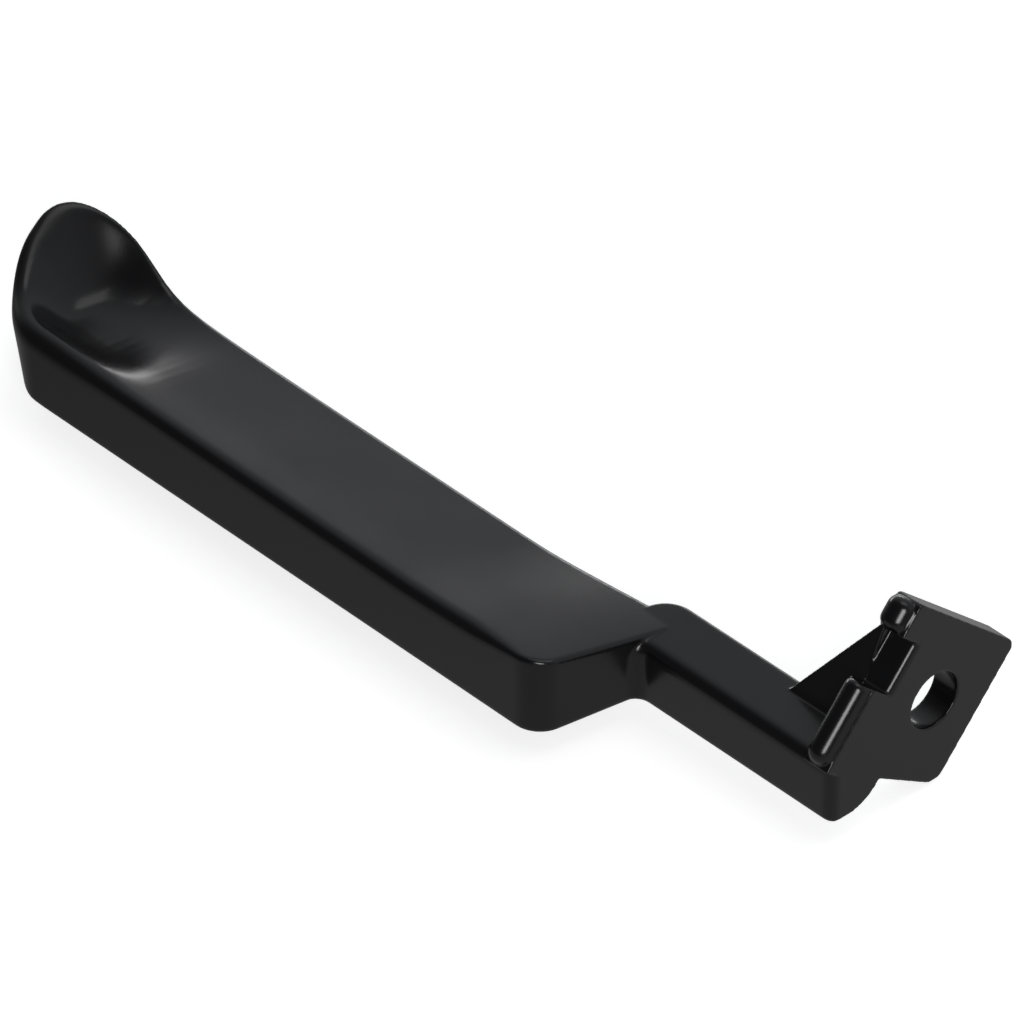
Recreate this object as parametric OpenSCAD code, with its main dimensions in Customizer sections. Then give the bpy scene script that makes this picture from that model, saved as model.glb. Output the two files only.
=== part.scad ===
// Interior door handle lever, cast in one piece.
// The origin is the centre of the pivot bore on the outer face of the end plate.
// +X runs along the handle from the tip to the end plate and is the axis of the bore.
// +Y runs from the front face to the back, and +Z is up.

/* [Grip] */
// Length from the outer face of the end plate to the tip of the grip
handle_len = 170.1; // [150:1:190]
// Distance from the bore axis forward to the front face of the grip
grip_front = 39; // [34:0.5:44]
// Width of the grip from front to back
grip_w = 26.0; // [20:0.1:30]
// Distance from the bore axis down to the underside
underside = 12; // [10.5:0.1:15]
// Height of the front top edge at the shoulder, above the bore axis
crest_rise = 1.5; // [0:0.1:3]
// Fall of the top from front to back, in mm for each mm of width
top_fall = 0.133; // [0.05:0.001:0.2]
// Depth of the thumb dish at the front edge
dish_front = 0.9; // [0:0.1:2]
// Depth of the thumb dish at the back edge
dish_back = 2.2; // [0:0.1:3]
// Length of the run from the dish up to the crest of the shoulder
dish_run = 32; // [16:1:40]
// Radius of the long front top edge
front_edge_r = 2.4; // [1:0.1:4]
// Radius of the long back top edge
back_edge_r = 1.2; // [0.6:0.1:2.4]
// Radius of the bottom edges
bottom_edge_r = 1; // [0.4:0.1:2]

/* [Tip] */
// Corner radius of the tip at the front, seen from above
tip_front_r = 13.5; // [5:0.5:14]
// Corner radius of the tip at the back, seen from above
tip_back_r = 11.1; // [5:0.1:12]
// Rise of the lip for each mm towards the tip
lip_rise = 0.98; // [0.6:0.05:1.2]
// Rise of the lip for each mm from front to back
lip_tilt = 0.67; // [0.3:0.01:0.8]
// Length of the raised part of the back edge
lip_len = 17.2; // [14:0.1:24]
// Softness of the foot of the lip, along the back edge
lip_knee = 5.3; // [2:0.1:6]
// Thickness of the rim of the lip at the end of the tip
rim_t = 2.2; // [1.5:0.1:4]
// Radius of the outer top edge of the rim
rim_r = 3.4; // [2:0.1:4]
// Width of the hollow wall inside the rim at the end of the tip
wall_w = 9; // [6:0.5:12]
// Width of the hollow slope from the back edge of the lip to the floor of the scoop
scoop_w = 22; // [18:0.5:26]
// Depth of the floor of the scoop below the dish
scoop_sink = 2.4; // [0:0.1:3]
// Length from the tip over which the scoop runs out into the dish
scoop_len = 36; // [28:1:42]
// Outward lean of the end wall of the tip, in mm for each mm of height
tip_lean = 0.36; // [0:0.02:0.4]
// Radius of the bottom edge at the tip
tip_bottom_r = 2.2; // [1:0.1:4]

/* [Shoulder] */
// Distance from the outer face of the end plate to the middle of the shoulder
shoulder_x = 41.4; // [38:0.1:46]
// Slant of the shoulder, in mm for each mm of width
shoulder_slant = 0.18; // [0.05:0.01:0.3]
// Radius of the upright outer corner of the shoulder
shoulder_r = 4.2; // [1.5:0.1:5]
// Radius of the top edge of the shoulder
crest_r = 0.8; // [0.4:0.1:1.5]
// Radius of the upright inner corner between shoulder and neck
inner_r = 2.5; // [1:0.1:4]

/* [Neck] */
// Distance from the bore axis forward to the front face of the neck
neck_front = 21.1; // [19:0.1:24]
// Width of the neck from front to back
neck_w = 11.6; // [10:0.1:14]
// Fall of the neck's front top edge below the bore axis
neck_drop = 1.3; // [0:0.1:2]
// Radius of the front top edge of the neck
neck_edge_r = 2.1; // [1:0.1:3]
// Radius of the back bottom edge of the neck
neck_belly_r = 8; // [2:0.1:9]
// Radius of the outer corner behind the shoulder, seen from above
heel_r = 5.3; // [5.1:0.1:6]
// Distance from the outer face of the end plate to the far end of the neck, behind the grip
neck_len = 46.6; // [45:0.1:50]
// Radius of the back top edge of the neck
neck_back_r = 1.2; // [0.5:0.1:2]
// Radius of the upright front edge at the end of the neck
neck_end_r = 1.8; // [0.5:0.1:2.2]

/* [End plate] */
// Diameter of the pivot bore
bore_d = 9.5; // [6:0.1:12]
// Thickness of the end plate
plate_t = 5; // [4:0.1:7]
// Turn of the end plate about the bore
plate_turn = 48.5; // [40:0.5:56]
// Distance from the bore centre to the upper edge
edge_up = 12.5; // [10:0.1:15]
// Distance from the bore centre to the back edge
edge_back = 11.3; // [9:0.1:14]
// Distance from the bore centre to the lower edge
edge_low = 13.4; // [11:0.1:15]
// Slant of the lower edge, in mm for each mm of its length
low_slant = 0.16; // [0:0.01:0.25]
// Distance from the bore centre to the front edge
edge_front = 17.6; // [16:0.1:19]
// Radius of the outer corners of the plate
plate_corner_r = 1.4; // [0.5:0.1:3]

/* [Notch and bead] */
// Distance from the bore centre to the floor of the notch
notch_floor = 11.6; // [10:0.1:13]
// Width of the notch
notch_w = 8.6; // [6:0.1:10]
// Height of the notch's middle above the bore, along the front edge
notch_mid = 2.55; // [2:0.1:4]
// Radius of the near edge of the notch floor
notch_round = 1.2; // [0.5:0.1:2]
// Diameter of the rounded bead on the front edge
bead_d = 4.4; // [4:0.1:5.6]
// Distance below the bore, along the front edge, at which the bead ends
bead_low = 15.4; // [14:0.1:16]
// Thickness of the round tab above the notch
tab_t = 5.2; // [4:0.1:7]
// Distance from the bore centre to the front of the tab
tab_front = 17.2; // [16:0.1:18]
// Setback of the bead from the outer face
bead_step = 0.35; // [0.1:0.05:0.5]

/* [Web] */
// Thickness of the web
web_t = 3; // [2:0.1:4]
// Length of the web along the neck
web_len = 12.6; // [9:0.1:14]
// Height of the web above the neck
web_h = 16.5; // [12:0.5:18]
// Backward lean of the web from upright, in degrees
web_lean = 24; // [14:1:28]

/* [Hidden] */

// Small overlap of pieces that are cast together, so that no two faces only touch
bite = 0.1;
// Length by which each cut runs past the faces that it cuts
past = 1;
// Sides of a full circle in turned shapes
round_n = 48;
// Steps of a quarter turn along the rims and fillets
arc_steps = 10;
edge_steps = 4;
plan_steps = 7;
// Steps across the dish, round the tip, along the lip, along the grip and up to the crest
cross_steps = 11;
tip_steps = 14;
lip_steps = 8;
long_steps = 5;
run_steps = 9;

grip_y = -grip_front;
grip_back_y = grip_y + grip_w;
tip_x = -handle_len;
floor_z = -underside;
neck_y = -neck_front;
neck_back_y = neck_y + neck_w;
neck_z = -neck_drop;
// The neck's underside lies a little above the grip's
neck_floor_z = floor_z + 2 * bite;
mid_y = grip_y + grip_w / 2;

// Easing from 0 to 1
function clamp(t) = max(0, min(1, t));
function ease(t) = let (c = clamp(t)) c * c * (3 - 2 * c);
// Easing from 1 to 0 that starts steeply and runs out gently
function run_out(t) = let (c = 1 - clamp(t)) c * c * c * (4 - 3 * c);
// The larger of a value and zero, with a soft knee
function soft_pos(h, knee) = (h + sqrt(h * h + knee * knee)) / 2;
// Drop of a round edge of radius r at the distance d in from the side
function edge_drop(d, r) = d >= r ? 0 : r - sqrt(max(0, r * r - (r - d) * (r - d)));

// Place of the slanted shoulder face at a given y
function shoulder_at(y) = -shoulder_x + shoulder_slant * (y - mid_y);

// Distance in from the outline of the tip, whose two corners are round
function corner_in(end_d, side_d, r) =
    end_d < r && side_d < r
        ? r - sqrt((r - end_d) * (r - end_d) + (r - side_d) * (r - side_d))
        : min(end_d, side_d);
function tip_in(x, y) = max(0, min(
    corner_in(x - tip_x, y - grip_y, tip_front_r),
    corner_in(x - tip_x, grip_back_y - y, tip_back_r)));

// Radius of the top edge: wide at the front and round the tip, narrow at the back,
// small on the shoulder
function near_tip(x) = ease((tip_x + lip_len - x) / lip_len);
function front_r(x) =
    front_edge_r + (rim_r - front_edge_r) * ease((tip_x + scoop_len - x) / (scoop_len / 2));
function top_edge_r(x, y) =
    let (across = ease((y - grip_y) / grip_w))
    let (grip_r = front_r(x) + (back_edge_r - front_r(x)) * across)
    crest_r + (grip_r - crest_r) * ease((shoulder_at(y) - x) / (dish_run / 2));
function low_edge_r(x) = bottom_edge_r + (tip_bottom_r - bottom_edge_r) * near_tip(x);

// Height of the crest, of the dish below it and of the lip above it
function crest_z(y) = crest_rise - top_fall * (y - grip_y - front_edge_r);
function dish_depth(x, y) =
    (dish_front + (dish_back - dish_front) * clamp((y - grip_y) / grip_w))
    * ease((shoulder_at(y) - crest_r - x) / dish_run);
function lip_z(x, y) =
    let (rise = lip_rise * (tip_x + lip_len - x) - lip_tilt * (grip_back_y - y))
    let (end_in = corner_in(x - tip_x, y - grip_y, tip_front_r))
    let (past_wall = 1 - run_out((end_in - rim_t) / wall_w))
    let (back_in = grip_back_y - edge_drop(x - tip_x, tip_back_r) - y)
    let (slope = 1 - clamp(back_in / scoop_w))
    let (hollow = past_wall * (1 - slope * slope))
    soft_pos(rise, lip_knee) * (1 - hollow)
    - scoop_sink * hollow * ease((tip_x + scoop_len - x) / (scoop_len / 2));
function top_z(x, y) = crest_z(y) - dish_depth(x, y) + lip_z(x, y);

// Height of the skin at a plan point, where the edges are round
function edge_in(x, y) = max(0, min(
    tip_in(x, y),
    corner_in(shoulder_at(y) - x, y - grip_y, shoulder_r)));
function skin_top(x, y) = top_z(x, y) - edge_drop(edge_in(x, y), top_edge_r(x, y));
function skin_low(x, y) = floor_z + edge_drop(edge_in(x, y), low_edge_r(x));

// Front and back ends of each line across the grip, from the tip to the shoulder
lip_from = tip_x + tip_front_r;
long_from = tip_x + scoop_len;
long_to = -shoulder_x - dish_run;
// Distances of the last lines from the shoulder face
end_offsets = concat(
    [for (k = [1:run_steps]) shoulder_r + (dish_run - shoulder_r) * (1 - k / run_steps)],
    [for (k = [1:edge_steps]) crest_r + (shoulder_r - crest_r) * (1 - sin(90 * k / edge_steps))],
    [for (k = [1:edge_steps]) crest_r * (1 - sin(90 * k / edge_steps))]);
function end_front_y(s) = s < shoulder_r
    ? grip_y + shoulder_r - sqrt(max(0, shoulder_r * shoulder_r - (shoulder_r - s) * (shoulder_r - s)))
    : grip_y;
stations = concat(
    [for (k = [0:tip_steps]) let (a = 90 * k / tip_steps) [
        [tip_x + tip_front_r * (1 - cos(a)), grip_y + tip_front_r * (1 - sin(a))],
        [tip_x + tip_back_r * (1 - cos(a)), grip_back_y - tip_back_r * (1 - sin(a))]]],
    [for (k = [1:lip_steps]) let (x = lip_from + (long_from - lip_from) * k / lip_steps)
        [[x, grip_y], [x, grip_back_y]]],
    [for (k = [1:long_steps]) let (x = long_from + (long_to - long_from) * k / long_steps)
        [[x, grip_y], [x, grip_back_y]]],
    [for (s = end_offsets) let (y = end_front_y(s))
        [[shoulder_at(y) - s, y], [shoulder_at(grip_back_y) - s, grip_back_y]]]);

// Fractions across a line: close together in the round edges, even over the dish
function fractions(line_len, front_edge) =
    let (f = min(front_edge, line_len / 3), b = min(back_edge_r, line_len / 3))
    let (inner = line_len - f - b)
    concat(
        [for (k = [0:edge_steps]) f * (1 - cos(90 * k / edge_steps)) / line_len],
        [for (k = [1:cross_steps - 1]) (f + inner * k / cross_steps) / line_len],
        [for (k = [0:edge_steps]) (line_len - b * (1 - sin(90 * k / edge_steps))) / line_len]);

// The end wall of the tip leans out as it rises
function leaned(x, y, z) =
    [x - tip_lean * near_tip(x) * (z - crest_rise), y, z];

across_n = 2 * (edge_steps + 1) + cross_steps - 1;
ring_n = 2 * across_n;
function station_ring(s) =
    let (line_len = norm(s[1] - s[0]))
    let (plan = [for (t = fractions(line_len, front_r(s[0][0]))) s[0] + (s[1] - s[0]) * t])
    concat(
        [for (p = plan) leaned(p[0], p[1], skin_top(p[0], p[1]))],
        [for (k = [across_n - 1:-1:0]) let (p = plan[k]) leaned(p[0], p[1], skin_low(p[0], p[1]))]);

module grip() {
    rings = [for (s = stations) each station_ring(s)];
    last = len(stations) - 1;
    sides = [for (i = [0:last - 1], k = [0:ring_n - 1])
        let (n = (k + 1) % ring_n)
        each [
            [i * ring_n + k, (i + 1) * ring_n + n, (i + 1) * ring_n + k],
            [i * ring_n + k, i * ring_n + n, (i + 1) * ring_n + n]]];
    tip_cap = [for (k = [0:across_n - 2]) each [
        [k, ring_n - 1 - k, k + 1],
        [k + 1, ring_n - 1 - k, ring_n - 2 - k]]];
    base = last * ring_n;
    end_cap = [for (k = [0:across_n - 2]) each [
        [base + k, base + k + 1, base + ring_n - 1 - k],
        [base + k + 1, base + ring_n - 2 - k, base + ring_n - 1 - k]]];
    polyhedron(rings, concat(sides, tip_cap, end_cap));
}

// Points of a round corner at b, between the sides to a and to c
function unit(v) = v / norm(v);
function corner(a, b, c, r, n) = r == 0 ? [b] :
    let (u = unit(a - b), v = unit(c - b))
    let (half = acos(u * v) / 2)
    let (m = b + unit(u + v) * r / sin(half))
    let (from = b + u * r / tan(half) - m, to = b + v * r / tan(half) - m)
    let (a0 = atan2(from[1], from[0]), turn = (atan2(to[1], to[0]) - a0 + 540) % 360 - 180)
    [for (i = [0:n]) m + r * [cos(a0 + turn * i / n), sin(a0 + turn * i / n)]];

// Inward step of the neck's front and back walls at a height
function neck_in(z, low_r, top_r) = max(edge_drop(z - neck_floor_z, low_r), edge_drop(neck_z - z, top_r));
function neck_front_in(z) = neck_in(z, bottom_edge_r, neck_edge_r);
function neck_back_in(z) = neck_in(z, neck_belly_r, neck_back_r);
neck_levels = concat(
    [for (k = [0:edge_steps - 1]) neck_floor_z + bottom_edge_r * (1 - cos(90 * k / edge_steps))],
    [for (k = [0:edge_steps]) let (low = acos(1 - bottom_edge_r / neck_belly_r))
        neck_floor_z + neck_belly_r * (1 - cos(low + (90 - low) * k / edge_steps))],
    [for (k = [edge_steps:-1:0]) neck_z - neck_edge_r * (1 - cos(90 * k / edge_steps))]);

// Plan of the neck at a height, with the round inner corner against the shoulder
function neck_plan(z) =
    let (f = neck_front_in(z), b = neck_back_in(z))
    let (front = neck_y + f, back = neck_back_y - b)
    let (step = f * norm([1, shoulder_slant]))
    let (inner = [shoulder_at(front) - step, front])
    let (left = -neck_len + min(b, heel_r - bite), hidden_y = grip_y + shoulder_r + inner_r)
    concat(
        corner([0, back], [0, front], inner, max(bite, neck_end_r - f), edge_steps),
        corner([0, front], inner, [shoulder_at(hidden_y) - step, hidden_y], inner_r + f, plan_steps),
        [[shoulder_at(hidden_y) - step - inner_r, hidden_y]],
        corner([left, hidden_y], [left, back], [0, back], max(bite, heel_r - b), plan_steps),
        [[0, back]]);

module neck() {
    plans = [for (z = neck_levels) [for (p = neck_plan(z)) [p[0], p[1], z]]];
    n = len(plans[0]);
    top = (len(plans) - 1) * n;
    sides = [for (i = [0:len(plans) - 2], k = [0:n - 1])
        let (m = (k + 1) % n)
        each [
            [i * n + k, (i + 1) * n + m, (i + 1) * n + k],
            [i * n + k, i * n + m, (i + 1) * n + m]]];
    // The flat ends are cut into triangles between the inner corner and the heel
    inner = edge_steps + 1;
    heel = inner + 2 * plan_steps + 2;
    cap = concat(
        [for (k = [0:edge_steps]) [n - 1, k, k + 1]],
        [[n - 1, inner, heel], [inner + plan_steps, inner + plan_steps + 1, inner + plan_steps + 2]],
        [for (k = [0:plan_steps - 1]) each [
            [inner + k, inner + k + 1, heel - k], [inner + k + 1, heel - k - 1, heel - k]]]);
    difference() {
        polyhedron([for (p = plans) each p],
            concat(sides, [for (t = cap) [t[2], t[1], t[0]]], [for (t = cap) t + [top, top, top]]));
        // The dish runs out over the heel of the neck
        translate([0, neck_back_y + bite, 0]) rotate([90, 0, 0]) linear_extrude(neck_w + grip_w)
            polygon(concat(
                [for (k = [0:run_steps]) let (t = k / run_steps)
                    [-shoulder_x + 2 * crest_r - dish_run * t, neck_z - dish_back * ease(t)]],
                [[-shoulder_x - dish_run, neck_z + past], [-shoulder_x + 2 * crest_r, neck_z + past]]));
    }
}

notch_low_p = notch_mid - notch_w / 2;
notch_high_p = notch_mid + notch_w / 2;
bead_r = bead_d / 2;
// Radius of the ends of the tab and of the bead at the notch, and the drop of the
// tab's end below the upper edge of the plate
tab_end_r = 1.6;
bead_end_r = 1;
tab_drop = 0.4;
bead_q = edge_front - bead_r;

// Bar with round ends along the front edge of the plate, out to the distance front from the bore
module bead(from, to, front, r, low_r, high_r) {
    bar_len = to - from;
    translate([-r - bead_step, 0, 0]) rotate([plate_turn, 0, 0])
        translate([0, to, front - r]) rotate([90, 0, 0])
            rotate_extrude($fn = round_n)
                polygon(concat(
                    [[0, 0]],
                    [for (k = [0:arc_steps]) let (a = -90 + 90 * k / arc_steps)
                        [r - high_r + high_r * cos(a), high_r + high_r * sin(a)]],
                    [for (k = [0:arc_steps]) let (a = 90 * k / arc_steps)
                        [r - low_r + low_r * cos(a), bar_len - low_r + low_r * sin(a)]],
                    [[0, bar_len]]));
}

module end_plate() {
    c = [
        [-edge_low + low_slant * edge_back, -edge_back], [edge_up, -edge_back],
        [edge_up, bead_q], [-edge_low - low_slant * bead_q, bead_q]];
    r = [2 * plate_corner_r, plate_corner_r, plate_corner_r / 2, 0];
    n = len(c);
    rotate([90, 0, 90]) translate([0, 0, -plate_t]) linear_extrude(plate_t) rotate(plate_turn)
        polygon([for (i = [0:n - 1])
            each corner(c[(i + n - 1) % n], c[i], c[(i + 1) % n], r[i], edge_steps)]);
}

// The notch, cut through the plate and its join with the web
module notch() {
    rotate([plate_turn, 0, 0]) translate([-plate_t - bite, notch_low_p, notch_floor])
        cube([plate_t + bite + past, notch_w, edge_front]);
}

// Round near edge of the notch floor
module notch_edge_cut() {
    rotate([plate_turn, 0, 0]) translate([0, notch_high_p, notch_floor]) rotate([90, 0, 0])
        linear_extrude(notch_w) difference() {
            translate([-notch_round, -notch_round]) square(2 * notch_round);
            translate([-notch_round, -notch_round]) circle(notch_round, $fn = round_n);
        }
}

module web() {
    high = web_h / cos(web_lean);
    translate([-plate_t, neck_back_y - web_t - bite, neck_z]) rotate([-web_lean, 0, 0])
        rotate([90, 0, 0]) mirror([0, 0, 1]) linear_extrude(web_t)
            polygon([[bite, -web_t], [bite, high], [0, high], [-web_len, 0], [-web_len, -web_t]]);
}

module handle_lever() {
    color("#151517") difference() {
        union() {
            grip();
            neck();
            difference() {
                union() {
                    end_plate();
                    web();
                }
                notch();
                notch_edge_cut();
            }
            bead(-bead_low, notch_low_p, edge_front, bead_r, bead_r - bite, bead_end_r);
            bead(notch_high_p, edge_up - tab_drop, tab_front, tab_t / 2, tab_end_r, tab_end_r);
        }
        translate([-plate_t - past, 0, 0]) rotate([0, 90, 0])
            cylinder(h = plate_t + 2 * past, d = bore_d, $fn = round_n);
    }
}

handle_lever();
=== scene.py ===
"""Interior door handle lever, cast in one piece and coated satin black.

The frame is loaded first. One operator models the casting from its parts with Blender's own
tools, one gives it the coat, and one sets the stage. Lengths are in metres, +X runs along
the handle from the lip to the end plate, +Y from its front to its back, and +Z is up.
"""

import bpy
import bmesh
import math
from mathutils import Matrix, Vector


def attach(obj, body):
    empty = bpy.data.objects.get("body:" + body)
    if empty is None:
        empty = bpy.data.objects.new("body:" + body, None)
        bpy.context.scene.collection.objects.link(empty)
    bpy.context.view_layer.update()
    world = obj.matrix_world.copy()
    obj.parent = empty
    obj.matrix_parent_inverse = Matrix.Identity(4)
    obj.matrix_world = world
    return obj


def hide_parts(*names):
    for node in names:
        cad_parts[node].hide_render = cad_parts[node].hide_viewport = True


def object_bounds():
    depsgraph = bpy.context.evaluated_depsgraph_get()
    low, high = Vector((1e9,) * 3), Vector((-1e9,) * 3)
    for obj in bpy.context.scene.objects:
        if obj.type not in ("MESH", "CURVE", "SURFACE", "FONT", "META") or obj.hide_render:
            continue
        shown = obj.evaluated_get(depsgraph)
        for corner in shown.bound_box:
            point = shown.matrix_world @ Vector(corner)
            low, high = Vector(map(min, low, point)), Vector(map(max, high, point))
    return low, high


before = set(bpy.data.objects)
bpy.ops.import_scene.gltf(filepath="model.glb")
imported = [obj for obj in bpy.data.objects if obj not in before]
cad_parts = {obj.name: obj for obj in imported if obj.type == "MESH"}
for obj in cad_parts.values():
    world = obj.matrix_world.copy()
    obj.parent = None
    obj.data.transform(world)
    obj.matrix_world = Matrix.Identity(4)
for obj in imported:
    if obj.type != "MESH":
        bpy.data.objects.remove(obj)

bl_info = {
    "name": "Door handle lever",
    "version": (1, 0, 0),
    "blender": (4, 5, 0),
    "location": "3D View > Sidebar > Handle",
    "description": "Models a one-piece interior door handle lever on its loaded frame",
    "category": "Object",
}

CAD_LOW, CAD_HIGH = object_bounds()
MM = 0.001

# Overlap of parts that are cast together, and the length by which a cut runs past its faces
BITE = 0.1 * MM
PAST = 1 * MM
# Lines round the tip, along the grip, up to the crest and over its edge, and the steps of
# each line in its two round edges and between them
TIP_LINES, LONG_LINES, RUN_LINES, CREST_LINES = 26, 40, 26, 7
EDGE_STEPS, ACROSS_STEPS = 8, 34
# Steps of a quarter turn in the plans of the neck and the plate, in round bars and in cuts
PLAN_STEPS, PLATE_STEPS, BAR_STEPS, CUT_STEPS = 12, 8, 10, 16
# Sides of the round bars and of the bore
BAR_SIDES, BORE_SIDES = 64, 96
# The casting is thinned when it has more triangles than the first number, to the second
MOST_TRIANGLES, GOAL_TRIANGLES = 190000, 188000
# Strength and passes of the smoothing that rounds the voxel skin
SOFT_FACTOR, SOFT_PASSES = 0.5, 7

FLOOR_SIZE = 6
SENSOR_WIDTH = 36.0
FAR_CLIP = 20.0
# Each light panel's name, place, width, height and brightness
LIGHT_PANELS = (
    ("Left panel", (-1.05, 0.78, 0.10), 1.0, 0.17, 4.0),
    ("Side panel", (-1.25, 0.16, 0.12), 0.45, 0.22, 5.0),
    ("Near panel", (0.75, -0.70, 0.55), 0.42, 0.42, 9.0),
    ("Top panel", (0.1, 0.3, 1.6), 0.9, 0.9, 0.9),
)


def length(name, text, value_mm):
    """A length property with its default in millimetres."""
    return bpy.props.FloatProperty(
        name=name, description=text, default=value_mm * MM, unit="LENGTH", precision=5)


def angle(name, text, degrees):
    """An angle property with its default in degrees."""
    return bpy.props.FloatProperty(
        name=name, description=text, default=math.radians(degrees), subtype="ANGLE")


def number(name, text, value):
    """A plain number property."""
    return bpy.props.FloatProperty(name=name, description=text, default=value, precision=4)


def srgb(hex_text):
    """An sRGB hex colour turned to linear values with an alpha of 1."""
    parts = [int(hex_text[i:i + 2], 16) / 255 for i in (1, 3, 5)]
    linear = [c / 12.92 if c <= 0.04045 else ((c + 0.055) / 1.055) ** 2.4 for c in parts]
    return (*linear, 1.0)


def colour(name, text, hex_text):
    """A colour property with an sRGB hex default."""
    return bpy.props.FloatVectorProperty(
        name=name, description=text, subtype="COLOR", size=4, min=0, max=1, default=srgb(hex_text))


class GripSizes(bpy.types.PropertyGroup):
    """Sizes of the grip, its dish and its upturned lip."""
    handle_len: length("Length", "From the outer face of the end plate to the tip", 170.1)
    front: length("Front", "From the bore axis forward to the front face", 39.0)
    width: length("Width", "Width of the grip from front to back", 26.0)
    underside: length("Underside", "From the bore axis down to the underside", 12.0)
    crest_rise: length("Crest", "Height of the front top edge at the shoulder", 1.5)
    top_fall: number("Top fall", "Fall of the top from front to back, mm for each mm", 0.133)
    dish_front: length("Dish front", "Depth of the thumb dish at the front edge", 0.9)
    dish_back: length("Dish back", "Depth of the thumb dish at the back edge", 2.2)
    dish_run: length("Dish run", "Length of the run from the dish up to the crest", 32.0)
    front_edge: length("Front edge", "Radius of the long front top edge", 2.4)
    back_edge: length("Back edge", "Radius of the long back top edge", 1.2)
    bottom_edge: length("Bottom edge", "Radius of the bottom edges", 1.0)
    shoulder: length("Shoulder", "From the outer face of the end plate to the shoulder", 41.4)
    shoulder_slant: number("Shoulder slant", "Slant of the shoulder, mm for each mm", 0.18)
    shoulder_corner: length("Shoulder corner", "Radius of the upright outer corner", 4.2)
    crest_edge: length("Crest edge", "Radius of the top edge of the shoulder", 0.8)
    tip_front: length("Tip front", "Corner radius of the tip at the front", 13.5)
    tip_back: length("Tip back", "Corner radius of the tip at the back", 11.1)
    lip_rise: number("Lip rise", "Rise of the lip for each mm towards the tip", 0.98)
    lip_tilt: number("Lip tilt", "Rise of the lip for each mm from front to back", 0.67)
    lip_len: length("Lip length", "Length of the raised part of the back edge", 17.2)
    lip_knee: length("Lip foot", "Softness of the foot of the lip, along the back edge", 5.3)
    rim: length("Rim", "Thickness of the rim of the lip at the end of the tip", 2.2)
    rim_edge: length("Rim edge", "Radius of the outer top edge of the rim", 3.4)
    wall: length("Wall", "Width of the hollow wall inside the rim at the end of the tip", 9.0)
    scoop: length("Scoop", "Width of the hollow slope from the back edge to the floor", 22.0)
    scoop_sink: length("Scoop depth", "Depth of the floor of the scoop below the dish", 2.4)
    scoop_len: length("Scoop length", "Length from the tip over which the scoop runs out", 36.0)
    tip_lean: number("Tip lean", "Outward lean of the end wall of the tip", 0.36)
    tip_bottom: length("Tip bottom", "Radius of the bottom edge at the tip", 2.2)


class NeckSizes(bpy.types.PropertyGroup):
    """Sizes of the neck that joins the grip to the end plate."""
    front: length("Front", "From the bore axis forward to the neck's front face", 21.1)
    width: length("Width", "Width of the neck from front to back", 11.6)
    drop: length("Drop", "Fall of the neck's top below the bore axis", 1.3)
    reach: length("Reach", "From the outer face to the neck's far end", 46.6)
    top_front: length("Front top edge", "Radius of the front top edge", 2.1)
    top_back: length("Back top edge", "Radius of the back top edge", 1.2)
    bottom_front: length("Front bottom edge", "Radius of the front bottom edge", 1.0)
    belly: length("Belly", "Radius of the back bottom edge", 8.0)
    heel: length("Heel", "Radius of the outer corner behind the shoulder", 5.3)
    inner: length("Inner corner", "Radius of the corner against the shoulder", 2.5)
    end_edge: length("End edge", "Radius of the upright front edge at the end plate", 1.8)


class PlateSizes(bpy.types.PropertyGroup):
    """Sizes of the end plate with its bore, notch, bead, tab and web."""
    bore: length("Bore", "Diameter of the pivot bore", 9.5)
    thickness: length("Thickness", "Thickness of the end plate", 5.0)
    turn: angle("Turn", "Turn of the end plate about the bore", 48.5)
    up: length("Upper edge", "From the bore to the upper edge", 12.5)
    back: length("Back edge", "From the bore to the back edge", 11.3)
    low: length("Lower edge", "From the bore to the lower edge", 13.4)
    front: length("Front edge", "From the bore to the front edge", 17.6)
    low_slant: number("Lower slant", "Slant of the lower edge, mm for each mm", 0.16)
    corner: length("Corner", "Radius of the corner of the upper and back edges", 1.4)
    low_corner: length("Lower corner", "Radius of the corner of the lower and back edges", 2.84)
    notch_floor: length("Notch floor", "From the bore to the floor of the notch", 11.6)
    notch_width: length("Notch width", "Width of the notch", 8.6)
    notch_mid: length("Notch middle", "Height of the notch's middle along the edge", 2.55)
    notch_round: length("Notch round", "Radius of the near edge of the notch floor", 1.2)
    bead: length("Bead", "Diameter of the rounded bead", 4.4)
    bead_step: length("Bead step", "Setback of the bead and tab from the outer face", 0.35)
    bead_low: length("Bead end", "Distance below the bore at which the bead ends", 15.38)
    bead_end: length("Bead end edge", "Radius of the bead's end at the notch", 1.0)
    tab: length("Tab", "Thickness of the round tab above the notch", 5.2)
    tab_front: length("Tab front", "From the bore to the front of the tab", 17.2)
    tab_end: length("Tab end edge", "Radius of both ends of the tab", 1.6)
    tab_drop: length("Tab drop", "From the plate's upper edge down to the end of the tab", 0.4)
    web: length("Web", "Thickness of the web", 3.0)
    web_len: length("Web length", "Length of the web along the neck", 12.6)
    web_height: length("Web height", "Height of the web above the neck", 16.5)
    web_lean: angle("Web lean", "Backward lean of the web from upright", 24.0)


class CoatLooks(bpy.types.PropertyGroup):
    """The satin black coat."""
    colour: colour("Colour", "Colour of the coat", "#0e0e10")
    roughness: bpy.props.FloatProperty(
        name="Roughness", description="Roughness of the coat", default=0.22, min=0, max=1)
    voxel: length("Casting detail", "Smallest form that the casting keeps", 0.21)


# Rules of the grip's surface


def clamp(t):
    return max(0.0, min(1.0, t))


def quarter(k, steps):
    """Angle after k of the steps of a quarter turn."""
    return math.pi / 2 * k / steps


def ease(t):
    """Easing from 0 to 1."""
    c = clamp(t)
    return c * c * (3 - 2 * c)


def run_out(t):
    """Easing from 1 to 0 that starts steeply and runs out gently."""
    c = 1 - clamp(t)
    return c ** 3 * (4 - 3 * c)


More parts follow.
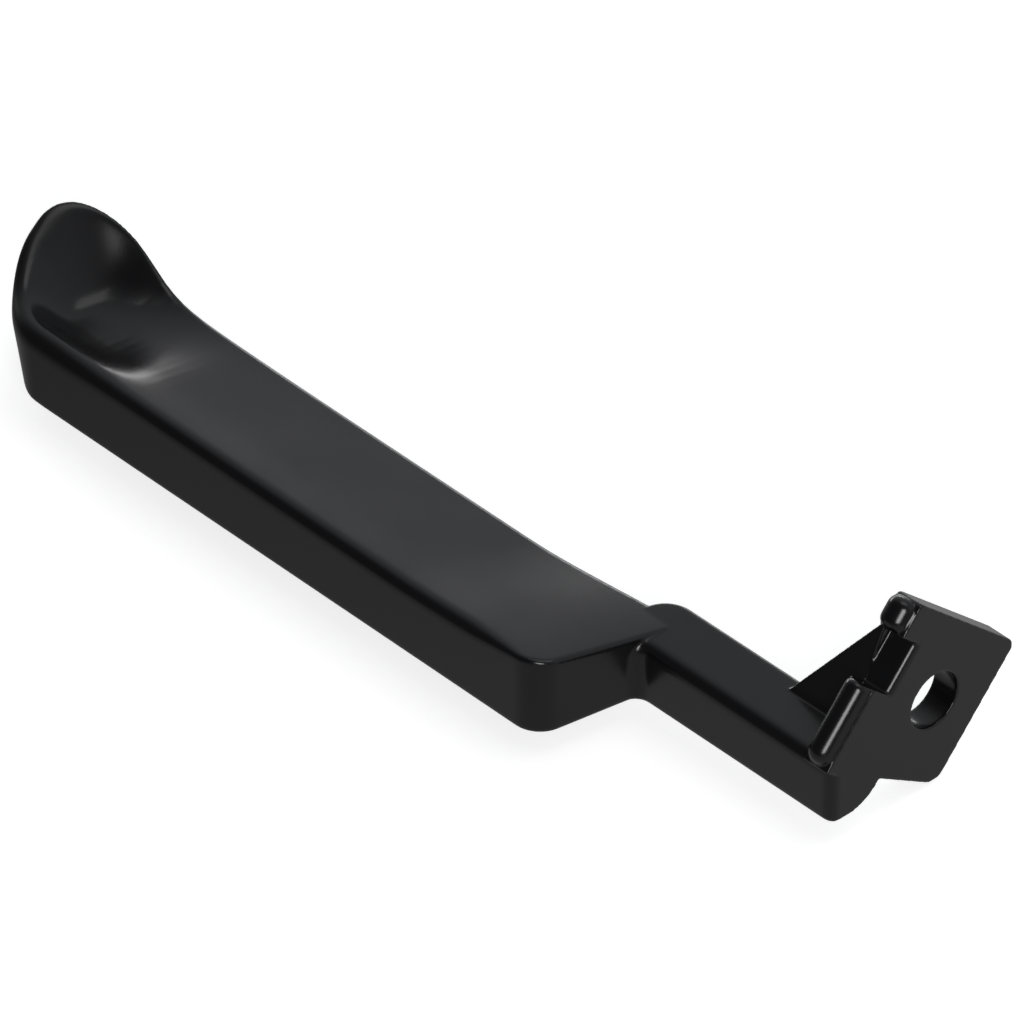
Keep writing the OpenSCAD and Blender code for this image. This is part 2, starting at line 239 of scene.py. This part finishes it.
def soft_pos(height, knee):
    """The larger of a height and zero, with a soft knee."""
    return (height + math.hypot(height, knee)) / 2


def edge_drop(depth, radius):
    """Drop of a round edge at a depth in from the side."""
    if depth >= radius:
        return 0.0
    return radius - math.sqrt(max(0.0, radius ** 2 - (radius - depth) ** 2))


def corner_in(end, side, radius):
    """Distance in from an outline with a round corner."""
    if end < radius and side < radius:
        return radius - math.hypot(radius - end, radius - side)
    return min(end, side)


class GripForm:
    """The skin of the grip, computed from its sizes."""

    def __init__(self, sizes):
        self.s = sizes
        self.front_y = -sizes.front
        self.back_y = self.front_y + sizes.width
        self.mid_y = self.front_y + sizes.width / 2
        self.tip_x = -sizes.handle_len
        self.floor_z = -sizes.underside

    def shoulder_at(self, y):
        return -self.s.shoulder + self.s.shoulder_slant * (y - self.mid_y)

    def tip_in(self, x, y):
        return max(0.0, min(
            corner_in(x - self.tip_x, y - self.front_y, self.s.tip_front),
            corner_in(x - self.tip_x, self.back_y - y, self.s.tip_back)))

    def edge_in(self, x, y):
        shoulder = corner_in(self.shoulder_at(y) - x, y - self.front_y, self.s.shoulder_corner)
        return max(0.0, min(self.tip_in(x, y), shoulder))

    def near_tip(self, x):
        """Grows from 0 to 1 over the raised part of the back edge."""
        return ease((self.tip_x + self.s.lip_len - x) / self.s.lip_len)

    def near_scoop(self, x):
        """Grows from 0 to 1 over the first half of the scoop."""
        return ease((self.tip_x + self.s.scoop_len - x) / (self.s.scoop_len / 2))

    def front_edge(self, x):
        return self.s.front_edge + (self.s.rim_edge - self.s.front_edge) * self.near_scoop(x)

    def top_edge(self, x, y):
        across = ease((y - self.front_y) / self.s.width)
        along = ease((self.shoulder_at(y) - x) / (self.s.dish_run / 2))
        long_edge = self.front_edge(x) + (self.s.back_edge - self.front_edge(x)) * across
        return self.s.crest_edge + (long_edge - self.s.crest_edge) * along

    def lip(self, x, y):
        """Height of the lip above the dish, with the scoop hollowed out inside its rim."""
        rise = self.s.lip_rise * (self.tip_x + self.s.lip_len - x) - self.s.lip_tilt * (self.back_y - y)
        end_in = corner_in(x - self.tip_x, y - self.front_y, self.s.tip_front)
        past_wall = 1 - run_out((end_in - self.s.rim) / self.s.wall)
        back_in = self.back_y - edge_drop(x - self.tip_x, self.s.tip_back) - y
        slope = 1 - clamp(back_in / self.s.scoop)
        hollow = past_wall * (1 - slope ** 2)
        return (soft_pos(rise, self.s.lip_knee) * (1 - hollow)
                - self.s.scoop_sink * hollow * self.near_scoop(x))

    def top(self, x, y):
        crest = self.s.crest_rise - self.s.top_fall * (y - self.front_y - self.s.front_edge)
        across = clamp((y - self.front_y) / self.s.width)
        depth = self.s.dish_front + (self.s.dish_back - self.s.dish_front) * across
        dish = depth * ease((self.shoulder_at(y) - self.s.crest_edge - x) / self.s.dish_run)
        return crest - dish + self.lip(x, y)

    def skin(self, x, y, upper):
        """Point of the upper or lower skin; the end wall of the tip leans out as it rises."""
        inward = self.edge_in(x, y)
        if upper:
            z = self.top(x, y) - edge_drop(inward, self.top_edge(x, y))
        else:
            low = self.s.bottom_edge + (self.s.tip_bottom - self.s.bottom_edge) * self.near_tip(x)
            z = self.floor_z + edge_drop(inward, low)
        lean = self.s.tip_lean * self.near_tip(x) * (z - self.s.crest_rise)
        return Vector((x - lean, y, z))

    def lines(self):
        """Front and back ends of the lines across the grip, from the tip to the shoulder."""
        s, found = self.s, []
        for k in range(TIP_LINES + 1):
            x_share, y_share = 1 - math.cos(quarter(k, TIP_LINES)), 1 - math.sin(quarter(k, TIP_LINES))
            found.append((
                (self.tip_x + s.tip_front * x_share, self.front_y + s.tip_front * y_share),
                (self.tip_x + s.tip_back * x_share, self.back_y - s.tip_back * y_share)))
        start, end = self.tip_x + s.tip_front, -s.shoulder - s.dish_run
        for k in range(1, LONG_LINES + 1):
            x = start + (end - start) * k / LONG_LINES
            found.append(((x, self.front_y), (x, self.back_y)))
        # Distances of the last lines from the shoulder: over the dish, the corner and the edge
        corner_run, crest_run = s.dish_run - s.shoulder_corner, s.shoulder_corner - s.crest_edge
        closing = [1 - math.sin(quarter(k, CREST_LINES)) for k in range(1, CREST_LINES + 1)]
        offsets = [s.shoulder_corner + corner_run * (1 - k / RUN_LINES) for k in range(1, RUN_LINES + 1)]
        offsets += [s.crest_edge + crest_run * share for share in closing]
        offsets += [s.crest_edge * share for share in closing]
        for o in offsets:
            y = self.front_y + edge_drop(o, s.shoulder_corner)
            found.append((
                (self.shoulder_at(y) - o, y),
                (self.shoulder_at(self.back_y) - o, self.back_y)))
        return found

    def fractions(self, line):
        """Steps across a line, close together in the round edges."""
        span = math.dist(*line)
        f, b = min(self.front_edge(line[0][0]), span / 3), min(self.s.back_edge, span / 3)
        inner = span - f - b
        turns = [quarter(k, EDGE_STEPS) for k in range(EDGE_STEPS + 1)]
        steps = [f * (1 - math.cos(a)) for a in turns]
        steps += [f + inner * k / ACROSS_STEPS for k in range(1, ACROSS_STEPS)]
        steps += [span - b * (1 - math.sin(a)) for a in turns]
        return [v / span for v in steps]


# Small modelling helpers


def start_piece():
    """Nothing is selected when a new primitive comes."""
    if bpy.context.mode != "OBJECT":
        bpy.ops.object.mode_set(mode="OBJECT")
    bpy.ops.object.select_all(action="DESELECT")


def only(obj):
    """Makes one object the only selected and the active one."""
    start_piece()
    obj.select_set(True)
    bpy.context.view_layer.objects.active = obj


def place_key(place, digits):
    """A place rounded so that it can be looked up."""
    return tuple(round(c * 10 ** digits) for c in place)


def faces_outward():
    """Turns every face of the piece in edit mode outwards and leaves edit mode."""
    bpy.ops.mesh.select_all(action="SELECT")
    bpy.ops.mesh.normals_make_consistent(inside=False)
    bpy.ops.object.mode_set(mode="OBJECT")


def extruded_to(piece, moved, digits):
    """Extrudes the selected faces and puts each new vertex at the place found for its start."""
    bpy.ops.mesh.extrude_region_move()
    shell = bmesh.from_edit_mesh(piece.data)
    for vertex in shell.verts:
        if vertex.select:
            vertex.co = moved[place_key(vertex.co, digits)]
    bmesh.update_edit_mesh(piece.data)


def named(name):
    """The new primitive gets its name, and its place goes into its mesh."""
    piece = bpy.context.active_object
    piece.name = piece.data.name = name
    bpy.ops.object.transform_apply(location=True, rotation=True, scale=True)
    return piece


def round_corner(before, at, after, radius, steps):
    """Points of a round corner between two sides of an outline."""
    before, at, after = Vector(before), Vector(at), Vector(after)
    if radius <= 0:
        return [at]
    u, v = (before - at).normalized(), (after - at).normalized()
    half = u.angle(v) / 2
    middle = at + (u + v).normalized() * radius / math.sin(half)
    first, last = at + u * radius / math.tan(half) - middle, at + v * radius / math.tan(half) - middle
    a0 = math.atan2(first.y, first.x)
    turn = (math.atan2(last.y, last.x) - a0 + math.pi) % (2 * math.pi) - math.pi
    return [middle + radius * Vector((math.cos(a0 + turn * i / steps), math.sin(a0 + turn * i / steps)))
            for i in range(steps + 1)]


def cut_or_join(target, tool, how):
    """The tool is joined to the target or cut from it, and then removed."""
    only(target)
    step = target.modifiers.new("step", "BOOLEAN")
    step.operation, step.object, step.solver = how, tool, "EXACT"
    bpy.ops.object.modifier_apply(modifier=step.name)
    bpy.data.objects.remove(tool, do_unlink=True)


def lofted(name, rings):
    """A solid made from a filled circle whose face is extruded from ring to ring."""
    start_piece()
    count = len(rings[0])
    bpy.ops.mesh.primitive_circle_add(vertices=count, radius=1, fill_type="NGON")
    piece = named(name)
    for vertex, place in zip(piece.data.vertices, rings[0]):
        vertex.co = place
    bpy.ops.object.mode_set(mode="EDIT")
    bpy.ops.mesh.select_all(action="SELECT")
    for before, after in zip(rings, rings[1:]):
        extruded_to(piece, {place_key(a, 7): b for a, b in zip(before, after)}, 7)
    faces_outward()
    return piece


# The casting


def grip_body(sizes):
    """The grip: a grid shaped to the top skin and extruded down to the underside."""
    form = GripForm(sizes)
    lines = form.lines()
    columns = 2 * (EDGE_STEPS + 1) + ACROSS_STEPS - 1
    start_piece()
    bpy.ops.mesh.primitive_grid_add(x_subdivisions=len(lines) - 1, y_subdivisions=columns - 1, size=2)
    piece = named("Grip")
    plan = {}
    for vertex in piece.data.vertices:
        i = round((vertex.co.x + 1) / 2 * (len(lines) - 1))
        j = round((vertex.co.y + 1) / 2 * (columns - 1))
        (x0, y0), (x1, y1) = lines[i]
        t = form.fractions(lines[i])[j]
        plan[vertex.index] = (x0 + (x1 - x0) * t, y0 + (y1 - y0) * t)
        vertex.co = form.skin(*plan[vertex.index], upper=True)
    under = {place_key(v.co, 8): form.skin(*plan[v.index], upper=False) for v in piece.data.vertices}
    bpy.ops.object.mode_set(mode="EDIT")
    bpy.ops.mesh.select_all(action="SELECT")
    extruded_to(piece, under, 8)
    faces_outward()
    return piece


def neck_body(sizes, grip_sizes):
    """The neck: its plan extruded upwards, with the round edges and the inner corner."""
    form = GripForm(grip_sizes)
    floor_z, top_z = -grip_sizes.underside + BITE, -sizes.drop
    turns = [quarter(k, EDGE_STEPS) for k in range(EDGE_STEPS + 1)]
    # The belly's round begins where the round bottom edge of the front ends
    low = math.acos(1 - sizes.bottom_front / sizes.belly)
    belly_turns = [low + (math.pi / 2 - low) * k / EDGE_STEPS for k in range(EDGE_STEPS + 1)]
    heights = [floor_z + sizes.bottom_front * (1 - math.cos(a)) for a in turns[:-1]]
    heights += [floor_z + sizes.belly * (1 - math.cos(a)) for a in belly_turns]
    heights += [top_z - sizes.top_front * (1 - math.cos(a)) for a in reversed(turns)]
    tiny = BITE / 2
    hidden_y = form.front_y + grip_sizes.shoulder_corner + sizes.inner
    rings = []
    for z in heights:
        f = max(edge_drop(z - floor_z, sizes.bottom_front), edge_drop(top_z - z, sizes.top_front))
        b = max(edge_drop(z - floor_z, sizes.belly), edge_drop(top_z - z, sizes.top_back))
        front, back = -sizes.front + f, -sizes.front + sizes.width - b
        step = f * math.hypot(1, grip_sizes.shoulder_slant)
        inner = (form.shoulder_at(front) - step, front)
        hidden = (form.shoulder_at(hidden_y) - step, hidden_y)
        left = -sizes.reach + min(b, sizes.heel - tiny)
        end_edge, heel = max(tiny, sizes.end_edge - f), max(tiny, sizes.heel - b)
        plan = round_corner((0, back), (0, front), inner, end_edge, PLAN_STEPS // 2)
        plan += round_corner((0, front), inner, hidden, sizes.inner + f, PLAN_STEPS)
        plan += [Vector((hidden[0] - sizes.inner, hidden_y))]
        plan += round_corner((left, hidden_y), (left, back), (0, back), heel, PLAN_STEPS)
        plan += [Vector((0, back))]
        rings.append([Vector((p.x, p.y, z)) for p in plan])
    piece = lofted("Neck", rings)
    # The dish runs out over the heel of the neck
    start, run = -grip_sizes.shoulder + 2 * grip_sizes.crest_edge, grip_sizes.dish_run
    shares = [k / CUT_STEPS for k in range(CUT_STEPS + 1)]
    outline = [(start - run * t, top_z - grip_sizes.dish_back * ease(t)) for t in shares]
    outline += [(start - run, top_z + PAST), (start, top_z + PAST)]
    cutter = lofted("Dish_cut", [[Vector((x, y, z)) for x, z in outline] for y in (form.front_y, 0.0)])
    cut_or_join(piece, cutter, "DIFFERENCE")
    return piece


def plate_place(turn):
    """Turns a place given as (depth, along the front edge, out from the bore) to the row's frame."""
    return Matrix.Rotation(turn, 4, "X")


def end_plate_body(sizes):
    """The end plate: its outline extruded by its thickness."""
    q = sizes.front - sizes.bead / 2
    corners = [(-sizes.low + sizes.low_slant * sizes.back, -sizes.back), (sizes.up, -sizes.back),
               (sizes.up, q), (-sizes.low - sizes.low_slant * q, q)]
    radii = [sizes.low_corner, sizes.corner, sizes.corner / 2, 0]
    outline = []
    for i, radius in enumerate(radii):
        outline += round_corner(corners[i - 1], corners[i], corners[(i + 1) % 4], radius, PLATE_STEPS)
    place = plate_place(sizes.turn)
    rings = [[place @ Vector((x, p.x, p.y)) for p in outline] for x in (0.0, -sizes.thickness)]
    return lofted("End_plate", rings)


def bar_body(name, sizes, start, end, front, radius, low_round, high_round):
    """A bar along the plate's front edge: a cylinder with its two end rims bevelled round."""
    start_piece()
    bpy.ops.mesh.primitive_cylinder_add(vertices=BAR_SIDES, radius=radius, depth=end - start)
    piece = named(name)
    only(piece)
    bpy.ops.object.mode_set(mode="EDIT")
    bpy.ops.mesh.select_mode(type="EDGE")
    half = (end - start) / 2
    for rim_z, end_round in ((-half, low_round), (half, high_round)):
        bpy.ops.mesh.select_all(action="DESELECT")
        shell = bmesh.from_edit_mesh(piece.data)
        for e in shell.edges:
            if all(abs(v.co.z - rim_z) < MM / 1000 for v in e.verts):
                e.select = True
        shell.select_flush_mode()
        bmesh.update_edit_mesh(piece.data)
        bpy.ops.mesh.bevel(offset=end_round, segments=BAR_STEPS, affect="EDGES", clamp_overlap=True)
    bpy.ops.mesh.select_mode(type="VERT")
    bpy.ops.object.mode_set(mode="OBJECT")
    middle = Vector((-radius - sizes.bead_step, (start + end) / 2, front - radius))
    upright = Matrix.Rotation(math.radians(-90), 4, "X")
    piece.data.transform(plate_place(sizes.turn) @ Matrix.Translation(middle) @ upright)
    return piece


def web_body(sizes, neck):
    """The leaning web between the neck and the end plate."""
    high = sizes.web_height / math.cos(sizes.web_lean)
    outline = [(BITE, -sizes.web), (BITE, high), (0, high), (-sizes.web_len, 0),
               (-sizes.web_len, -sizes.web)]
    back = -neck.front + neck.width
    place = (Matrix.Translation((-sizes.thickness, back - sizes.web - BITE, -neck.drop))
             @ Matrix.Rotation(-sizes.web_lean, 4, "X"))
    return lofted("Web", [[place @ Vector((x, y, z)) for x, z in outline] for y in (0.0, sizes.web)])


def box_body(name, low, high, place):
    """A plain block used as a cutting tool."""
    rings = [[place @ Vector((x, y, z)) for y, z in
              ((low[1], low[2]), (high[1], low[2]), (high[1], high[2]), (low[1], high[2]))]
             for x in (low[0], high[0])]
    return lofted(name, rings)


def notch_edge_body(sizes, low, high):
    """Cutting tool that leaves the near edge of the notch floor round."""
    place, r, past = plate_place(sizes.turn), sizes.notch_round, PAST / 2
    turns = [quarter(k, BAR_STEPS) for k in range(BAR_STEPS + 1)]
    middle_q = sizes.notch_floor - r
    outline = [(past, middle_q)]
    outline += [(-r + r * math.cos(a), middle_q + r * math.sin(a)) for a in turns]
    outline += [(-r, sizes.notch_floor + past), (past, sizes.notch_floor + past)]
    return lofted("Notch_edge_cut", [[place @ Vector((x, p, q)) for x, q in outline] for p in (low, high)])


def plate_head(plate, neck):
    """The end plate with its web and notch, and the bead and tab on its front edge."""
    head = end_plate_body(plate)
    cut_or_join(head, web_body(plate, neck), "UNION")
    low = plate.notch_mid - plate.notch_width / 2
    high = plate.notch_mid + plate.notch_width / 2
    notch = box_body("Notch_cut", (-plate.thickness - BITE, low, plate.notch_floor),
                     (PAST, high, plate.front + PAST), plate_place(plate.turn))
    cut_or_join(head, notch, "DIFFERENCE")
    cut_or_join(head, notch_edge_body(plate, low, high), "DIFFERENCE")
    bead_r = plate.bead / 2
    bead = bar_body("Bead", plate, -plate.bead_low, low, plate.front, bead_r, bead_r - BITE, plate.bead_end)
    tab = bar_body("Tab", plate, high, plate.up - plate.tab_drop, plate.tab_front, plate.tab / 2,
                   plate.tab_end, plate.tab_end)
    cut_or_join(head, bead, "UNION")
    cut_or_join(head, tab, "UNION")
    return head


class HANDLE_OT_casting(bpy.types.Operator):
    """Models the grip, neck, end plate, bead, tab and web and fuses them into one casting"""
    bl_idname = "handle.casting"
    bl_label = "Casting"

    def execute(self, context):
        scene = context.scene
        grip, neck, plate, coat = scene.grip_sizes, scene.neck_sizes, scene.plate_sizes, scene.coat_looks
        body = grip_body(grip)
        body.name = "Handle"
        cut_or_join(body, neck_body(neck, grip), "UNION")
        cut_or_join(body, plate_head(plate, neck), "UNION")

        start_piece()
        bpy.ops.mesh.primitive_cylinder_add(
            vertices=BORE_SIDES, radius=plate.bore / 2, depth=3 * plate.thickness,
            rotation=(0, math.radians(90), 0))
        cut_or_join(body, named("Bore_cut"), "DIFFERENCE")

        # A voxel skin and a little smoothing give every edge and crease the soft fillet of a casting
        only(body)
        skin = body.modifiers.new("Casting skin", "REMESH")
        skin.mode, skin.voxel_size, skin.use_smooth_shade = "VOXEL", coat.voxel, True
        bpy.ops.object.modifier_apply(modifier=skin.name)
        soft = body.modifiers.new("Fillets", "SMOOTH")
        soft.factor, soft.iterations = SOFT_FACTOR, SOFT_PASSES
        bpy.ops.object.modifier_apply(modifier=soft.name)
        triangles = sum(len(p.vertices) - 2 for p in body.data.polygons)
        if triangles > MOST_TRIANGLES:
            thin = body.modifiers.new("Fewer faces", "DECIMATE")
            thin.ratio = GOAL_TRIANGLES / triangles
            bpy.ops.object.modifier_apply(modifier=thin.name)
        bpy.ops.object.shade_smooth()
        body.data.name = "Handle"
        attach(body, "root")
        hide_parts("handle_lever")
        return {"FINISHED"}


# Materials


def add_node(tree, kind, settings=None, links=None):
    """Adds one node; settings are its attributes or input values, links its inputs' sources."""
    node = tree.nodes.new(kind)
    for key, value in (settings or {}).items():
        if hasattr(node, key) and key not in node.inputs:
            setattr(node, key, value)
        else:
            node.inputs[key].default_value = value
    for key, source in (links or {}).items():
        tree.links.new(source, node.inputs[key])
    return node


def empty_material(name):
    """A node material with nothing in it yet."""
    material = bpy.data.materials.new(name)
    material.use_nodes = True
    material.node_tree.nodes.clear()
    return material


def satin_black_coat(looks):
    """Satin black stoved paint on a die casting: nearly black, with a soft even gloss.

    Paint has an IOR of about 1.5, so a face seen at a slant mirrors the room, and one seen
    straight on stays dark. The film flows out with a very faint orange peel of about 1.5 mm.
    """
    material = empty_material("Satin black coat")
    tree = material.node_tree
    place = add_node(tree, "ShaderNodeTexCoord")
    # Orange peel, 1.5 mm from crest to crest
    peel = add_node(tree, "ShaderNodeTexNoise", {"Scale": 1 / (1.5 * MM), "Detail": 2.0, "Roughness": 0.5},
                    {"Vector": place.outputs["Object"]})
    peel_bump = add_node(tree, "ShaderNodeBump", {"Strength": 0.06, "Distance": 0.03 * MM},
                         {"Height": peel.outputs["Fac"]})
    # The sheen varies a little over 12 mm, from handling and from the thickness of the film
    patches = add_node(tree, "ShaderNodeTexNoise", {"Scale": 1 / (12 * MM), "Detail": 3.0},
                       {"Vector": place.outputs["Object"]})
    sheen = add_node(tree, "ShaderNodeMapRange", {
        "From Min": 0.3, "From Max": 0.7,
        "To Min": looks.roughness - 0.015, "To Max": looks.roughness + 0.02},
        {"Value": patches.outputs["Fac"]})
    shader = add_node(tree, "ShaderNodeBsdfPrincipled", {
        "Base Color": tuple(looks.colour), "Metallic": 0.0, "IOR": 1.5},
        {"Roughness": sheen.outputs["Result"], "Normal": peel_bump.outputs["Normal"]})
    add_node(tree, "ShaderNodeOutputMaterial", None, {"Surface": shader.outputs["BSDF"]})
    return material


def pale_floor(seen, painted_glow_range):
    """Plain pale studio floor: white to the camera, and a painted grey glow in the coat.

    The real floor shows in the coat as a dim grey, so it is brighter where it is seen itself. In the coat
    it is only emission, a painted reflection of unevenly lit floor.
    """
    material = empty_material("Pale floor")
    tree = material.node_tree
    ray = add_node(tree, "ShaderNodeLightPath")
    place = add_node(tree, "ShaderNodeTexCoord")
    axes = add_node(tree, "ShaderNodeSeparateXYZ", None, {"Vector": place.outputs["Object"]})
    # Painted light: the floor's emission in the coat grows from the front left to the back right
    slant = add_node(tree, "ShaderNodeMath", {"operation": "ADD"},
                     {0: axes.outputs["X"], 1: axes.outputs["Y"]})
    glow = add_node(tree, "ShaderNodeMapRange", {
        "From Min": -0.45, "From Max": 0.15, "To Min": painted_glow_range[0], "To Max": painted_glow_range[1],
        "interpolation_type": "SMOOTHSTEP"}, {"Value": slant.outputs["Value"]})
    # Painted glow that the coat reflects in place of a lit floor
    dim = add_node(tree, "ShaderNodeEmission", {"Color": (1, 1, 1, 1)},
                   {"Strength": glow.outputs["Result"]})
    lit = add_node(tree, "ShaderNodeBsdfDiffuse", {"Color": (0.8, 0.8, 0.8, 1)})
    base = add_node(tree, "ShaderNodeEmission", {"Color": (1, 1, 1, 1), "Strength": seen})
    white = add_node(tree, "ShaderNodeAddShader", None, {
        0: lit.outputs["BSDF"], 1: base.outputs["Emission"]})
    mix = add_node(tree, "ShaderNodeMixShader", None, {
        0: ray.outputs["Is Camera Ray"], 1: dim.outputs["Emission"], 2: white.outputs["Shader"]})
    add_node(tree, "ShaderNodeOutputMaterial", None, {"Surface": mix.outputs["Shader"]})
    return material


class HANDLE_OT_coat(bpy.types.Operator):
    """Gives the casting its satin black coat"""
    bl_idname = "handle.coat"
    bl_label = "Coat"

    def execute(self, context):
        handle = bpy.data.objects["Handle"]
        handle.data.materials.clear()
        handle.data.materials.append(satin_black_coat(context.scene.coat_looks))
        return {"FINISHED"}


# Stage


class StageLooks(bpy.types.PropertyGroup):
    """Camera, light and floor."""
    azimuth: angle("Azimuth", "Camera's turn from the front", 46.94)
    elevation: angle("Elevation", "Camera's height above level", 37.79)
    distance: length("Distance", "From the camera to the point it looks at", 1493.3)
    look: bpy.props.FloatVectorProperty(
        name="Look at", description="The point in the middle of the picture", subtype="TRANSLATION",
        default=(-0.07781, -0.0117, -0.00308))
    lens: number("Lens", "Lens of the camera in millimetres", 350.0)
    floor_drop: length("Floor drop", "From the lowest point of the handle to the floor", 0.5)
    floor_white: number("Floor white", "Base brightness of the floor to the camera", 0.70)
    # Floor dim and floor bright are the ends of the floor's painted glow, as the coat reflects it
    floor_dim: number("Floor dim", "Brightness of the floor's front left in the coat", 0.10)
    floor_bright: number("Floor bright", "Brightness of the floor's back right in the coat", 0.42)
    sky_front: number("Front sky", "Brightness of the room in front and above", 0.07)
    sky_back: number("Back sky", "Brightness of the room behind and above", 0.45)


def room_light(looks):
    """The room: white to the camera, dark in front and soft grey behind for the coat to mirror."""
    world = bpy.data.worlds.new("Room")
    world.use_nodes = True
    tree = world.node_tree
    tree.nodes.clear()
    ray = add_node(tree, "ShaderNodeLightPath")
    place = add_node(tree, "ShaderNodeTexCoord")
    axes = add_node(tree, "ShaderNodeSeparateXYZ", None, {"Vector": place.outputs["Generated"]})
    level = add_node(tree, "ShaderNodeMapRange", {
        "From Min": -0.5, "From Max": 0.45, "To Min": looks.sky_front, "To Max": looks.sky_back,
        "interpolation_type": "SMOOTHSTEP"}, {"Value": axes.outputs["Y"]})
    soft = add_node(tree, "ShaderNodeBackground", {"Color": (0.95, 0.97, 1, 1)},
                    {"Strength": level.outputs["Result"]})
    white = add_node(tree, "ShaderNodeBackground", {"Color": (1, 1, 1, 1), "Strength": 1.0})
    mix = add_node(tree, "ShaderNodeMixShader", None, {
        0: ray.outputs["Is Camera Ray"], 1: soft.outputs["Background"], 2: white.outputs["Background"]})
    add_node(tree, "ShaderNodeOutputWorld", None, {"Surface": mix.outputs["Shader"]})
    return world


def panel_light(name, place, aim, width, height, radiance):
    """A soft rectangular light panel of the given brightness, facing a point."""
    lamp = bpy.data.lights.new(name, "AREA")
    lamp.shape, lamp.size, lamp.size_y = "RECTANGLE", width, height
    lamp.energy = radiance * math.pi * width * height
    panel = bpy.data.objects.new(name, lamp)
    bpy.context.scene.collection.objects.link(panel)
    panel.location = place
    panel.rotation_euler = (Vector(aim) - Vector(place)).to_track_quat("-Z", "Y").to_euler()


class HANDLE_OT_stage(bpy.types.Operator):
    """Sets the pale floor, the soft studio light and the camera"""
    bl_idname = "handle.stage"
    bl_label = "Stage"

    def execute(self, context):
        looks = context.scene.stage_looks
        start_piece()
        bpy.ops.mesh.primitive_plane_add(size=FLOOR_SIZE)
        floor = named("Floor")
        for corner in floor.data.vertices:
            corner.co.z = CAD_LOW.z - looks.floor_drop
        # The floor's look in the coat is painted light, graded between the dim and bright ends
        floor.data.materials.append(pale_floor(looks.floor_white, (looks.floor_dim, looks.floor_bright)))
        context.scene.world = room_light(looks)

        middle = Vector(looks.look)
        for name, place, width, height, radiance in LIGHT_PANELS:
            panel_light(name, place, middle, width, height, radiance)

        level = math.cos(looks.elevation)
        towards = Vector((math.sin(looks.azimuth) * level, -math.cos(looks.azimuth) * level,
                          math.sin(looks.elevation)))
        eye = bpy.data.cameras.new("Camera")
        eye.lens, eye.sensor_width, eye.clip_end = looks.lens, SENSOR_WIDTH, FAR_CLIP
        camera = bpy.data.objects.new("Camera", eye)
        context.scene.collection.objects.link(camera)
        camera.location = middle + towards * looks.distance
        camera.rotation_euler = (-towards).to_track_quat("-Z", "Y").to_euler()
        context.scene.camera = camera
        context.scene.view_settings.view_transform = "Standard"
        return {"FINISHED"}


class HANDLE_PT_panel(bpy.types.Panel):
    """Lists the handle's pieces in the sidebar"""
    bl_label = "Door handle lever"
    bl_idname = "HANDLE_PT_panel"
    bl_space_type = "VIEW_3D"
    bl_region_type = "UI"
    bl_category = "Handle"

    def draw(self, context):
        scene = context.scene
        for title, group, operator in (
                ("Grip", scene.grip_sizes, None), ("Neck", scene.neck_sizes, None),
                ("End plate", scene.plate_sizes, "handle.casting"),
                ("Coat", scene.coat_looks, "handle.coat"),
                ("Stage", scene.stage_looks, "handle.stage")):
            box = self.layout.box()
            box.label(text=title)
            for key in group.__annotations__:
                box.prop(group, key)
            if operator:
                box.operator(operator)


CLASSES = (GripSizes, NeckSizes, PlateSizes, CoatLooks, StageLooks,
           HANDLE_OT_casting, HANDLE_OT_coat, HANDLE_OT_stage, HANDLE_PT_panel)
GROUPS = {"grip_sizes": GripSizes, "neck_sizes": NeckSizes, "plate_sizes": PlateSizes,
          "coat_looks": CoatLooks, "stage_looks": StageLooks}


def register():
    for item in CLASSES:
        bpy.utils.register_class(item)
    for name, group in GROUPS.items():
        setattr(bpy.types.Scene, name, bpy.props.PointerProperty(type=group))


def unregister():
    for name in GROUPS:
        delattr(bpy.types.Scene, name)
    for item in reversed(CLASSES):
        bpy.utils.unregister_class(item)


def main():
    register()
    bpy.ops.handle.casting()
    bpy.ops.handle.coat()
    bpy.ops.handle.stage()


if __name__ == "__main__":
    main()
